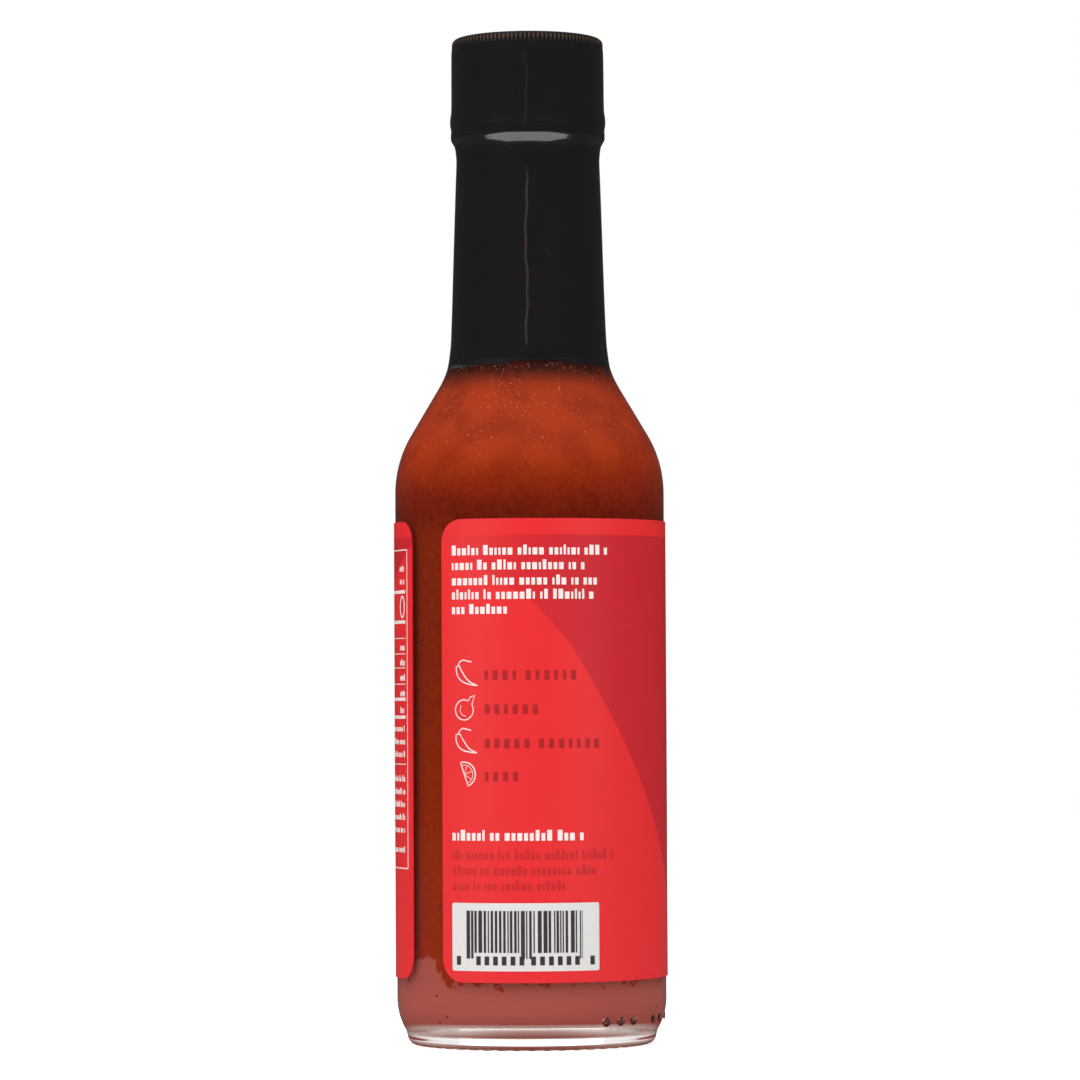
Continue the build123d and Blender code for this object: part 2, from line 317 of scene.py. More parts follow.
@dataclass(frozen=True)
class RedSauce:
    """Thick red chilli sauce, finely mottled, with dark flecks and fine bubbles.

    Seen flat through the thick base, the glass mirrors at the sauce's underside, so
    the sauce has a mirror finish there.
    """

    deep: Colour = (0.172, 0.0150, 0.0030)
    low: Colour = (0.235, 0.0185, 0.0030)
    # painted shade: a darker band about the label's top, where less top light falls
    dark: Colour = (0.118, 0.0080, 0.0018)
    # orange for the fine grain, and the painted top light on the shoulder
    orange_grain_and_top_light: Colour = (0.335, 0.0330, 0.0060)
    brown: Colour = (0.190, 0.0150, 0.0040)
    shade: Colour = (0.040, 0.0075, 0.0045)
    # pale settling sauce low down, partly painted light from the white floor shining up through
    # the base
    settled_and_floor_light: Colour = (0.340, 0.0790, 0.0620)
    fleck: Colour = (0.050, 0.0050, 0.0016)
    bubble: Colour = (0.62, 0.24, 0.12)
    foam: Colour = (0.50, 0.27, 0.20)
    mirror: Colour = (0.97, 0.92, 0.86)
    low_rise: Point = (0.070, 0.028)
    shade_band_rise: Point = (0.086, 0.0915)
    top_light_rise: Point = (0.0925, 0.1045)
    brown_rise: Point = (0.090, 0.097)
    shade_rise: Point = (0.1128, 0.1170)
    arch: float = 6.0
    pale_top: float = 0.0117
    pale_lift: float = 0.0035
    pale_side: float = -0.0135
    torn_depth: float = 0.0075
    mirror_top: float = 0.0050
    mirror_fade: float = 0.0007
    roughness: float = 0.55

    def _layers(self, g: Graph, at: Any, across: Num, height: Num) -> Any:
        """Colours the sauce by height: pale settling sauce with painted floor light, deep, a
        painted shade band, painted top light on the shoulder, then shaded by the film's painted
        shadow.

        Args:
            g: the material's graph.
            at: object coordinates.
            across: their X.
            height: their Z.

        Returns:
            The colour's socket.
        """
        cloud = g.noise(at, 45.0, 2.0) - 0.5
        wander = height + cloud * 0.004
        body = g.mix(wander.ramp(*self.low_rise), self.deep, self.low)
        # painted shade: the darker band about the label's top
        body = g.mix(wander.ramp(*self.shade_band_rise), body, self.dark)
        # painted top light: the shoulder is made lighter towards its top
        body = g.mix(wander.ramp(*self.top_light_rise), body, self.orange_grain_and_top_light)
        patch = g.noise(at, 150.0, 5.0).ramp(0.42, 0.66)
        body = g.mix(patch * height.ramp(*self.brown_rise) * 0.55, body, self.brown)
        hem = height + across * across * self.arch + cloud * 0.003
        body = g.mix(hem.ramp(*self.shade_rise), body, self.shade)
        grain = g.noise(at, 900.0, 2.0)
        body = g.mix(grain.ramp(0.3, 0.75) * 0.22, body, self.orange_grain_and_top_light)
        # the pale zone low down, with a ragged edge raised at one side: settling sauce, partly
        # painted light from the white floor
        torn = (g.noise(at, 520.0, 5.0) - 0.5) * self.torn_depth
        side = (across - self.pale_side).ramp(0.0, -0.003)
        pale_edge = side * self.pale_lift + self.pale_top
        milky = (height - torn - pale_edge).ramp(0.0004, -0.0004)
        return g.mix(milky * 0.9, body, self.settled_and_floor_light)

    def _specks(self, g: Graph, at: Any, height: Num, body: Any) -> Any:
        """Adds dark flecks low down, and fine bubbles and foam towards the top.

        Args:
            g: the material's graph.
            at: object coordinates.
            height: their Z.
            body: the colour so far.

        Returns:
            The colour's socket.
        """
        cloud = g.noise(at, 45.0, 2.0)
        flecks = (g.cells(at, 330.0) < 0.10) * (g.noise(at, 120.0) > 0.5)
        body = g.mix(flecks * height.ramp(0.096, 0.088) * 0.8, body, self.fleck)
        air = (g.cells(at, 1300.0) < 0.16) * (g.noise(at, 160.0) > 0.46)
        body = g.mix(air * height.ramp(0.090, 0.114) * 0.42, body, self.bubble)
        froth = (g.cells(at, 1050.0) < 0.16) * height.ramp(0.1148, 0.1168)
        body = g.mix(froth * (cloud > 0.44) * 0.7, body, self.foam)
        drawn = g.node("ShaderNodeMapping", {}, {"Vector": at, "Scale": (1, 1, 0.35)})
        streak = (g.cells(drawn.outputs[0], 620.0) < 0.075) * (cloud > 0.48)
        return g.mix(streak * height.ramp(0.094, 0.108) * 0.5, body, self.bubble)

    def material(self) -> bpy.types.Material:
        """Builds the sauce.

        Returns:
            The material.
        """
        g = Graph.finish("red_sauce")
        at, across, _, height = g.place()
        body = self._specks(g, at, height, self._layers(g, at, across, height))
        under = height.ramp(self.mirror_top, self.mirror_top - self.mirror_fade)
        sockets = {
            "Base Color": g.mix(under, body, self.mirror),
            "Metallic": under,
            "Roughness": self.roughness - under * 0.50,
            "Specular IOR Level": 0.0,
            "Normal": g.bump(g.noise(at, 900.0, 2.0), 0.00003),
        }
        return g.surface(g.principled(sockets))


@dataclass(frozen=True)
class BlackPlastic:
    """Moulded black plastic, satin, faintly dusty, with brown wear on its top ribs."""

    colour: Colour = (0.010, 0.010, 0.011)
    dust: Colour = (0.035, 0.034, 0.034)
    wear: Colour = (0.120, 0.060, 0.040)
    tip_radius: Point = (0.0129, 0.0132)
    tip_height: Point = (0.1732, 0.1742)

    def material(self) -> bpy.types.Material:
        """Builds the plastic.

        Returns:
            The material.
        """
        g = Graph.finish("black_plastic")
        at, across, depth, height = g.place()
        cloud = g.noise(at, 140.0)
        grain = g.noise(at, 2600.0, 2.0)
        rim = across * across + depth * depth
        outer = rim.ramp(*(radius**2 for radius in self.tip_radius))
        tips = outer * height.ramp(*self.tip_height) * cloud
        dusty = g.mix(cloud.ramp(0.55, 0.8) * 0.5, self.colour, self.dust)
        sockets = {
            "Base Color": g.mix(tips, dusty, self.wear),
            "Roughness": cloud * 0.12 + 0.36,
            "Specular IOR Level": 0.4,
            "Normal": g.bump(grain, 0.00002),
        }
        return g.surface(g.principled(sockets))


@dataclass(frozen=True)
class Crease:
    """The film's upright crease, which wanders a little to each side as it rises."""

    turn: float = -0.022
    sways: tuple[Point, ...] = ((0.012, 0.35), (0.006, 1.1))
    spread: float = 0.028
    reach: float = 12.83

    def place(self, z: float) -> float:
        """Its direction from the front, in radians, at a height in millimetres."""
        return self.turn + sum(size * math.sin(z * rate) for size, rate in self.sways)

    def across(self, z: Num) -> Num:
        """Finds where the crease runs, as a shader number.

        Args:
            z: height in millimetres.

        Returns:
            Its X in millimetres.
        """
        (slow, slow_rate), (quick, quick_rate) = self.sways
        swing = (z * slow_rate).sine() * slow + (z * quick_rate).sine() * quick
        return (swing + self.turn) * self.reach


@dataclass(frozen=True)
class BlackFilm:
    """Shrunk black film: satin, with fine upright drag lines, a few specks and a painted
    highlight along its crease.
    """

    crease: Crease = Crease()
    colour: Colour = (0.0085, 0.0078, 0.0094)
    speck: Colour = (0.22, 0.2, 0.19)
    # painted highlight: the lighter colour laid along the crease
    fold: Colour = (0.042, 0.026, 0.027)
    thin: float = 0.7
    thin_rise: Point = (0.1168, 0.1183)
    thin_arch: float = 8.0

    def material(self) -> bpy.types.Material:
        """Builds the film.

        Returns:
            The material.
        """
        g = Graph.finish("black_film")
        at, across, depth, height = g.place()
        z = height / MM
        # painted highlight along the front crease: on the neck, and faintly up the cap's side
        middle = self.crease.across(z)
        near = (across / MM - middle).size().ramp(0.30, 0.12) * (depth < 0.0)
        neck = z.ramp(119.9, 121.6) * z.ramp(152.4, 148.0)
        line = near * (neck + z.ramp(157.5, 160.0) * z.ramp(173.0, 168.0) * 0.3)
        line = line * (g.noise(at, 500.0, 1.0) * 0.8 + 0.6)
        drawn = g.node("ShaderNodeMapping", {}, {"Vector": at, "Scale": (1, 1, 0.06)})
        lines = g.noise(drawn.outputs[0], 900.0, 2.0)
        cloud = g.noise(at, 90.0)
        specks = (g.cells(at, 330.0) < 0.045) * (g.noise(at, 70.0) > 0.5)
        specks = specks * (1 - height.ramp(0.118, 0.145) * 0.9)
        film = g.mix(line, self.colour, self.fold)
        arch = (0.0002 - across * across) * self.thin_arch
        edge = height - arch - (g.noise(at, 260.0) - 0.5) * 0.0016
        sockets = {
            "Base Color": g.mix(specks * 0.8, film, self.speck),
            "Roughness": cloud * 0.08 + 0.09,
            "Specular IOR Level": 0.6,
            "Alpha": edge.ramp(*self.thin_rise) * (1.0 - self.thin) + self.thin,
            "Normal": g.bump(lines, 0.000025),
        }
        return g.surface(g.principled(sockets))


@dataclass(frozen=True)
class LabelFilm:
    """Red label film with a duller red field cut by two long slanted edges."""

    bright: Colour = (0.80, 0.020, 0.024)
    dull: Colour = (0.585, 0.0125, 0.022)
    band_z: float = 87.6
    mirror_u: float = 108.0
    fade_in: Point = (-20.0, 12.0)
    slants: tuple[tuple[float, float, float], ...] = (
        (0.4, 76.3, -0.64),
        (0.4, 76.3, -1.10),
        (12.8, 59.7, -1.59),
    )

    def _edge(self, u: Num) -> Num:
        """Height of the slanted edge at a distance along the label, in millimetres."""
        lines = [(u - at) * slope + height for at, height, slope in self.slants]
        return lines[0].least(lines[1]).least(lines[2])

    def material(self, sheet: "LabelSheet") -> bpy.types.Material:
        """Builds the film.

        Args:
            sheet: the label, whose UV map runs from 0 to 1 along and up.

        Returns:
            The material.
        """
        g = Graph.finish("label_film")
        uv = g.node("ShaderNodeUVMap", {"uv_map": LabelSheet.UV}, {}).outputs[0]
        parts = g.node("ShaderNodeSeparateXYZ", {}, {0: uv}).outputs
        u = Num(g, parts[0]) * sheet.length + sheet.start
        z = Num(g, parts[1]) * sheet.height + sheet.bottom
        at, _, _, _ = g.place()
        above = (z - self._edge(u)).ramp(-0.08, 0.08)
        beyond = (z - self._edge(self.mirror_u - u)).ramp(-0.08, 0.08)
        below = (self.band_z - z).ramp(-0.08, 0.08)
        field_share = above * beyond * below * u.ramp(*self.fade_in)
        mottle = g.noise(at, 700.0, 2.0)
        colour = g.mix(field_share, self.bright, self.dull)
        colour = g.mix(mottle.ramp(0.45, 0.9) * 0.10, colour, self.dull)
        sockets = {
            "Base Color": colour,
            "Roughness": g.noise(at, 180.0) * 0.1 + 0.27,
            "Specular IOR Level": 0.5,
            "Normal": g.bump(g.noise(at, 130.0, 2.0), 0.00003),
        }
        return g.surface(g.principled(sockets))


@dataclass(frozen=True)
class PrintInk:
    """A flat printing ink, a little uneven where it was laid down."""

    name: str
    colour: Colour
    thin: Colour

    def material(self) -> bpy.types.Material:
        """Builds the ink.

        Returns:
            The material.
        """
        g = Graph.finish(f"ink_{self.name}")
        at, _, _, _ = g.place()
        patch = g.noise(at, 1500.0, 2.0)
        sockets = {
            "Base Color": g.mix(patch.ramp(0.4, 0.8) * 0.5, self.colour, self.thin),
            "Roughness": g.noise(at, 180.0) * 0.1 + 0.3,
            "Specular IOR Level": 0.5,
            "Normal": g.bump(patch, 0.000008),
        }
        return g.surface(g.principled(sockets))


INKS = {
    Ink.WHITE: PrintInk("white", (0.90, 0.80, 0.78), (0.86, 0.66, 0.63)),
    Ink.PAPER: PrintInk("paper", (0.74, 0.73, 0.715), (0.70, 0.69, 0.68)),
    Ink.DARK: PrintInk("dark_red", (0.40, 0.011, 0.014), (0.50, 0.014, 0.018)),
    Ink.FAINT: PrintInk("faint_red", (0.56, 0.015, 0.020), (0.66, 0.018, 0.022)),
    Ink.BLACK: PrintInk("soft_black", (0.045, 0.035, 0.037), (0.075, 0.06, 0.06)),
}


# -------------------------------------------------------------------- modelling


def clear_selection() -> None:
    """Leaves edit mode and deselects every object."""
    if bpy.context.mode != "OBJECT":
        bpy.ops.object.mode_set(mode="OBJECT")
    bpy.ops.object.select_all(action="DESELECT")


def take(obj: bpy.types.Object) -> None:
    """Makes an object the only selected one, and active.

    Args:
        obj: the object.
    """
    clear_selection()
    obj.select_set(True)
    bpy.context.view_layer.objects.active = obj


def apply_modifiers(obj: bpy.types.Object) -> None:
    """Applies every modifier of an object, in order.

    Args:
        obj: the object, which keeps no modifiers.
    """
    take(obj)
    for modifier in list(obj.modifiers):
        bpy.ops.object.modifier_apply(modifier=modifier.name)


def settle(obj: bpy.types.Object) -> None:
    """Puts an object's place into its mesh."""
    take(obj)
    bpy.ops.object.transform_apply(location=True, rotation=True, scale=True)


def join(objects: Sequence[bpy.types.Object], name: str) -> bpy.types.Object:
    """Joins objects into the first and names it.

    Args:
        objects: meshes, at least one.
        name: the joined object's name.

    Returns:
        The joined object.
    """
    clear_selection()
    for obj in objects:
        obj.select_set(True)
    bpy.context.view_layer.objects.active = objects[0]
    if len(objects) > 1:
        bpy.ops.object.join()
    made = bpy.context.view_layer.objects.active
    made.name = made.data.name = name
    return made


def show(obj: bpy.types.Object, material: bpy.types.Material) -> None:
    """Dresses a piece and lets it ride with the bottle.

    Args:
        obj: the piece.
        material: its finish.
    """
    obj.data.materials.clear()
    obj.data.materials.append(material)
    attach(obj, "root")
    LOG.info("%s: %d faces", obj.name, len(obj.data.polygons))


def lathe(name: str, outline: Sequence[Point], steps: int) -> bpy.types.Object:
    """Turns an outline about the bottle's axis.

    Args:
        name: the new object's name.
        outline: radius and height in millimetres, in order.
        steps: how many steps go round.

    Returns:
        The turned piece, with its faces pointing outwards.
    """
    clear_selection()
    bpy.ops.mesh.primitive_plane_add(size=MM)
    obj = bpy.context.active_object
    obj.name = obj.data.name = name
    bpy.ops.object.mode_set(mode="EDIT")
    bpy.ops.mesh.select_all(action="SELECT")
    bpy.ops.mesh.merge(type="CENTER")
    first_r, first_z = outline[0]
    bpy.ops.transform.translate(value=(first_r * MM, 0, first_z * MM))
    for (r0, z0), (r1, z1) in zip(outline, outline[1:]):
        move = {"value": ((r1 - r0) * MM, 0, (z1 - z0) * MM)}
        bpy.ops.mesh.extrude_region_move(TRANSFORM_OT_translate=move)
    bpy.ops.mesh.select_all(action="SELECT")
    bpy.ops.mesh.spin(
        steps=steps, angle=math.tau, center=(0, 0, 0), axis=(0, 0, 1), dupli=False
    )
    bpy.ops.mesh.select_all(action="SELECT")
    bpy.ops.mesh.remove_doubles(threshold=WELD)
    bpy.ops.mesh.normals_make_consistent(inside=False)
    bpy.ops.object.mode_set(mode="OBJECT")
    bpy.ops.object.shade_smooth_by_angle(angle=SMOOTH)
    return obj


def arc(centre: Point, radius: float, start: float, end: float, count: int) -> list[Point]:
    """Points of an arc.

    Args:
        centre: radius and height of its centre.
        radius: its radius.
        start: direction of its first point in degrees.
        end: direction of its last point in degrees.
        count: how many points.

    Returns:
        The points, both ends included.
    """
    turns = [math.radians(start + (end - start) * i / (count - 1)) for i in range(count)]
    return [
        (centre[0] + radius * math.cos(t), centre[1] + radius * math.sin(t)) for t in turns
    ]


def rungs(start: Point, end: Point, count: int) -> list[Point]:
    """Points along a straight run.

    Args:
        start: one end.
        end: the other end.
        count: how many points, evenly spaced.

    Returns:
        The points, both ends left out.
    """
    shares = [i / (count + 1) for i in range(1, count + 1)]
    return [
        (start[0] + (end[0] - start[0]) * s, start[1] + (end[1] - start[1]) * s)
        for s in shares
    ]


# ----------------------------------------------------------------- the bottle


@dataclass
class Glass:
    """The glass bottle: its outline outside and in, and its foot's marks."""

    body_radius: float = 23.4
    wall: float = 2.3
    body_top: float = 95.5
    shoulder_arc: float = 19.9
    lean: float = 30.7
    neck_foot: float = 13.45
    neck_arc: float = 16.3
    taper: float = 1.95
    neck_wall: float = 2.6
    neck_top: float = 154.6
    bead_foot: float = 156.9
    bead_top: float = 158.6
    bead_radius: float = 13.2
    bead_round: float = 0.8
    finish_radius: float = 11.7
    lip: float = 172.6
    lip_round: float = 0.7
    lip_edge: float = 0.3
    bore: float = 8.2
    throat_rise: float = 5.0
    foot_radius: float = 21.6
    foot_round: float = 1.6
    foot_ring: float = 2.2
    heel_arc: float = 10.9
    heel_top: float = 8.0
    floor: float = 4.6
    floor_dome: float = 0.4
    inner_heel: float = 5.0
    push_up: float = 0.9
    steps: int = 288
    notches: int = 48
    notch_rise: float = 0.2
    dot_height: float = 4.9
    dot_radius: float = 0.9
    dot_rise: float = 0.22
    foot_line: float = 0.45
    # painted shade: dark red glass on the dots, in place of the darkening their lensing gives
    dot_painted_shade: Colour = (0.05, 0.010, 0.008)
    # painted reflection: reddish brown glass on the foot's edge, in place of the sauce seen in
    # it
    foot_painted_reflection: Colour = (0.45, 0.18, 0.10)
    dot_places: tuple[int, ...] = (0, 1, 2, 4, 5, 7)
    dot_first: float = 33.5
    dot_step: float = 7.8

    def shoulder(self, body: float, convex: float, neck: float, concave: float) -> list[Point]:
        """Draws the rise from the body's wall to the neck's foot.

        Args:
            body: radius of the body's wall.
            convex: radius of the arc that leaves the body.
            neck: radius of the neck's foot.
            concave: radius of the arc that meets the neck.

        Returns:
            Its points, from the wall upwards.
        """
        lean, taper = math.radians(self.lean), math.radians(self.taper)
        low = arc((body - convex, self.body_top), convex, 0, self.lean, 16)
        top_r = neck + concave * (math.cos(taper) - math.cos(lean))
        foot_r, foot_z = low[-1]
        top_z = foot_z + (foot_r - top_r) / math.tan(lean)
        middle = (top_r + concave * math.cos(lean), top_z + concave * math.sin(lean))
        high = arc(middle, concave, 180 + self.lean, 180 + self.taper, 14)
        return [*low, *rungs(low[-1], high[0], 4), *high]

    def heel_radius(self, z: float) -> float:
        """Radius of the rounded heel at a height."""
        centre = self.body_radius - self.heel_arc
        return centre + math.sqrt(self.heel_arc**2 - (self.heel_top - z) ** 2)

    def neck_radius(self, z: float, foot: Point) -> float:
        """Radius of the tapered neck at a height."""
        return foot[0] - (z - foot[1]) * math.tan(math.radians(self.taper))

    def outside(self) -> list[Point]:
        """Draws the outside.

        Returns:
            Its points, from the middle of the base up to the lip.
        """
        bearing = self.foot_radius - self.foot_round
        inner = bearing - self.foot_ring
        heel_r = self.body_radius - self.heel_arc
        shares = (0, 0.25, 0.5, 0.7, 0.85, 0.94)
        hollow = [(inner * s, self.push_up * (1 - s * s)) for s in shares]
        foot = [(inner, 0.06), (inner + 0.2, 0.0), (inner + 1.2, 0.0), (bearing, 0.0)]
        ring = arc((bearing, self.foot_round), self.foot_round, -80, -5, 9)
        heel = arc((heel_r, self.heel_top), self.heel_arc, -31, 0, 16)
        wall = rungs(heel[-1], (self.body_radius, self.body_top), 14)
        shoulder = self.shoulder(
            self.body_radius, self.shoulder_arc, self.neck_foot, self.neck_arc
        )
        neck_end = (self.neck_radius(self.neck_top, shoulder[-1]), self.neck_top)
        bead = [
            neck_end,
            (neck_end[0], self.bead_foot - 0.8),
            (self.bead_radius - 0.3, self.bead_foot - 0.05),
            (self.bead_radius, self.bead_foot + 0.4),
            *arc(
                (self.bead_radius - self.bead_round, self.bead_top - self.bead_round),
                self.bead_round,
                0,
                90,
                5,
            ),
        ]
        shoulder_z = self.lip - self.lip_round
        finish = [
            (self.finish_radius, self.bead_top),
            (self.finish_radius, shoulder_z),
            *arc((self.finish_radius - self.lip_round, shoulder_z), self.lip_round, 20, 90, 4),
        ]
        return [*hollow, *foot, *ring, *heel, *wall, *shoulder, *bead, *finish]

    def inside(self, grown: float = 0.0) -> list[Point]:
        """Draws the inside.

        Args:
            grown: how far it is moved out into the glass, in millimetres.

        Returns:
            Its points, from the middle of the floor up to the neck's top.
        """
        wall = self.body_radius - self.wall + grown
        heel = self.inner_heel + grown
        floor = self.floor - grown
        flat = wall - heel
        dome = [(flat * s, floor + self.floor_dome * (1 - s * s)) for s in (0, 0.3, 0.6, 0.85)]
        corner = arc((flat, floor + heel), heel, -90, 0, 14)
        shoulder = self.shoulder(
            wall,
            self.shoulder_arc - self.wall + grown,
            self.neck_foot - self.neck_wall + grown,
            self.neck_arc + self.neck_wall - grown,
        )
        rise = rungs(corner[-1], shoulder[0], 14)
        end = (self.neck_radius(self.neck_top, shoulder[-1]), self.neck_top)
        return [*dome, *corner, *rise, *shoulder, end]

    def _notch(self, obj: bpy.types.Object) -> None:
        """Lifts the bearing ring's outer part at even steps to make shallow notches.

        Args:
            obj: the glass.
        """
        take(obj)
        pitch = math.tau / self.notches
        for vertex in obj.data.vertices:
            at = vertex.co / MM
            reach = math.hypot(at.x, at.y)
            turn = (math.atan2(at.y, at.x) % pitch) / pitch
            low = at.z < 0.3 and self.foot_radius - 2.4 < reach < self.foot_radius - 0.3
            vertex.select = low and 0.2 < turn < 0.75
        for part in (obj.data.edges, obj.data.polygons):
            for item in part:
                item.select = False
        bpy.ops.object.mode_set(mode="EDIT")
        bpy.ops.mesh.select_mode(type="VERT")
        bpy.ops.transform.translate(value=(0, 0, self.notch_rise * MM))
        bpy.ops.object.mode_set(mode="OBJECT")

    def _dots(self, obj: bpy.types.Object) -> None:
        """Joins the heel's raised mould dots to the glass.

        Args:
            obj: the glass.
        """
        buttons = []
        wall = self.heel_radius(self.dot_height)
        for place in self.dot_places:
            turn = math.radians(self.dot_first + place * self.dot_step)
            clear_selection()
            bpy.ops.mesh.primitive_uv_sphere_add(segments=20, ring_count=12, radius=MM)
            button = bpy.context.active_object
            button.scale = (self.dot_radius, self.dot_rise, self.dot_radius)
            button.rotation_euler = (0, 0, turn)
            reach = wall * MM
            button.location = (
                reach * math.sin(turn),
                -reach * math.cos(turn),
                self.dot_height * MM,
            )
            settle(button)
            buttons.append(button)
        tool = join(buttons, "dot_tool")
        cut = obj.modifiers.new("dots", "BOOLEAN")
        cut.operation, cut.solver, cut.object = "UNION", "EXACT", tool
        apply_modifiers(obj)
        bpy.data.objects.remove(tool)
        take(obj)
        bpy.ops.object.shade_smooth_by_angle(angle=SMOOTH)

    def _paint_dots_and_foot(self, obj: bpy.types.Object) -> None:
        """Gives the dots and the foot's edge their own tinted glass: painted shade on the dots,
        and a painted reflection of the sauce on the foot's edge.

        Args:
            obj: the glass.
        """
        for name, tint in (("dot_shaded_glass", self.dot_painted_shade), ("foot_reflection_glass", self.foot_painted_reflection)):
            obj.data.materials.append(ClearGlass(name, tint=tint).material())
        low, high = self.dot_height - self.dot_radius, self.dot_height + self.dot_radius
        for face in obj.data.polygons:
            at = face.center / MM
            reach = math.hypot(at.x, at.y)
            if low < at.z < high and reach > self.heel_radius(at.z) + 0.02:
                face.material_index = 1
            elif at.z < self.foot_line and reach > self.foot_radius - self.foot_round:
                face.material_index = 2

    def build(self) -> bpy.types.Object:
        """Makes the glass piece.

        Returns:
            The piece.
        """
        throat = [
            (self.bore + self.lip_edge, self.lip),
            (self.bore, self.lip - self.lip_edge),
            (self.bore, self.neck_top + self.throat_rise),
        ]
        outline = [*self.outside(), *throat, *reversed(self.inside())]
        obj = lathe("bottle_glass", outline, self.steps)
        self._notch(obj)
        self._dots(obj)
        show(obj, ClearGlass().material())
        self._paint_dots_and_foot(obj)
        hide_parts("glass_bottle")
        return obj


@dataclass
class Sauce:
    """The sauce, reaching just into the glass wall."""

    glass: Glass
    into_wall: float = 0.08
    level: float = 128.0
    dish: tuple[Point, ...] = ((0.0, 0.0), (0.7, 0.5), (2.5, 0.9))
    dish_depth: float = 1.0
    steps: int = 192

    def build(self) -> bpy.types.Object:
        """Makes the sauce with a shallow dished top.

        Returns:
            The piece.
        """
        points = [p for p in self.glass.inside(self.into_wall) if p[1] < self.level]
        edge = self.glass.neck_radius(self.level, points[-1])
        top = [(edge - inwards, self.level - down) for inwards, down in self.dish]
        top.append((0.0, self.level - self.dish_depth))
        obj = lathe("sauce", [*points, *top], self.steps)
        show(obj, RedSauce().material())
        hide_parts("hot_sauce")
        return obj


@dataclass
class Sleeve:
    """The shrunk film over the cap's side, the bead and the neck."""

    skin: float = 0.10
    steps: int = 330
    rung: float = 0.8
    crease: Crease = Crease()
    crease_lift: float = 0.16
    hem: float = 118.0
    outline: tuple[Point, ...] = (
        (14.24, 117.25),
        (14.02, 118.2),
        (13.86, 119.3),
        (13.66, 120.9),
        (13.55, 122.4),
        (13.42, 125.5),
        (13.28, 129.4),
        (13.17, 133.0),
        (13.06, 136.4),
        (12.95, 140.0),
        (12.83, 143.6),
        (12.72, 147.0),
        (12.61, 150.2),
        (12.52, 152.6),
        (12.49, 153.6),
        (12.56, 154.6),
        (12.66, 155.5),
        (12.82, 156.2),
        (13.34, 157.1),
        (13.44, 157.4),
        (13.46, 157.8),
        (13.44, 158.3),
        (13.40, 158.8),
        (13.46, 159.3),
        (13.56, 159.8),
        (13.58, 160.5),
        (13.53, 161.2),
        (13.40, 161.9),
        (13.35, 162.8),
        (13.33, 165.0),
        (13.32, 168.0),
        (13.30, 171.0),
        (13.28, 172.4),
        (13.22, 173.2),
        (13.13, 173.5),
    )

    def _ripple(self, obj: bpy.types.Object) -> None:
        """Gives the film its crease at the front, its uneven hem and fine unevenness.

        Args:
            obj: the turned film.
        """

        def eased(start: float, end: float, z: float) -> float:
            """Goes from 0 at start to 1 at end, and holds outside them."""
            return min(1.0, max(0.0, (z - start) / (end - start)))

        for vertex in obj.data.vertices:
            x, y, z = vertex.co / MM
            reach = math.hypot(x, y)
            turn = math.atan2(x, -y)
            crease = math.exp(-(((turn - self.crease.place(z)) / self.crease.spread) ** 2))
            neck = eased(121.0, 124.0, z) * eased(153.5, 151.5, z)
            upper = 0.35 if z > 162 else 0.0
            lift = self.crease_lift * crease * max(neck, upper)
            lift += 0.018 * math.sin(5 * turn + z * 0.12) * eased(119.0, 125.0, z)
            scale = (reach + lift) / reach
            drop = 0.0
            if z < self.hem:
                drop = 0.16 * math.sin(2 * turn + 0.6) + 0.1 * math.sin(7 * turn)
                drop += 0.5 * math.exp(-((turn / 0.4) ** 2))
            vertex.co = Vector((x * scale, y * scale, z + drop)) * MM

    def build(self) -> bpy.types.Object:
        """Makes the sleeve as a thin wall.

        Returns:
            The piece.
        """
        fine: list[Point] = []
        for low, high in zip(self.outline, self.outline[1:]):
            count = int((high[1] - low[1]) / self.rung)
            fine += [low, *rungs(low, high, count)]
        fine.append(self.outline[-1])
        obj = lathe("sleeve_film", fine, self.steps)
        self._ripple(obj)
        wall = obj.modifiers.new("wall", "SOLIDIFY")
        wall.thickness, wall.offset = self.skin * MM, -1.0
        apply_modifiers(obj)
        bpy.ops.object.shade_smooth_by_angle(angle=math.radians(50))
        show(obj, BlackFilm().material())
        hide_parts("shrink_sleeve")
        return obj


# ------------------------------------------------------------------- the label


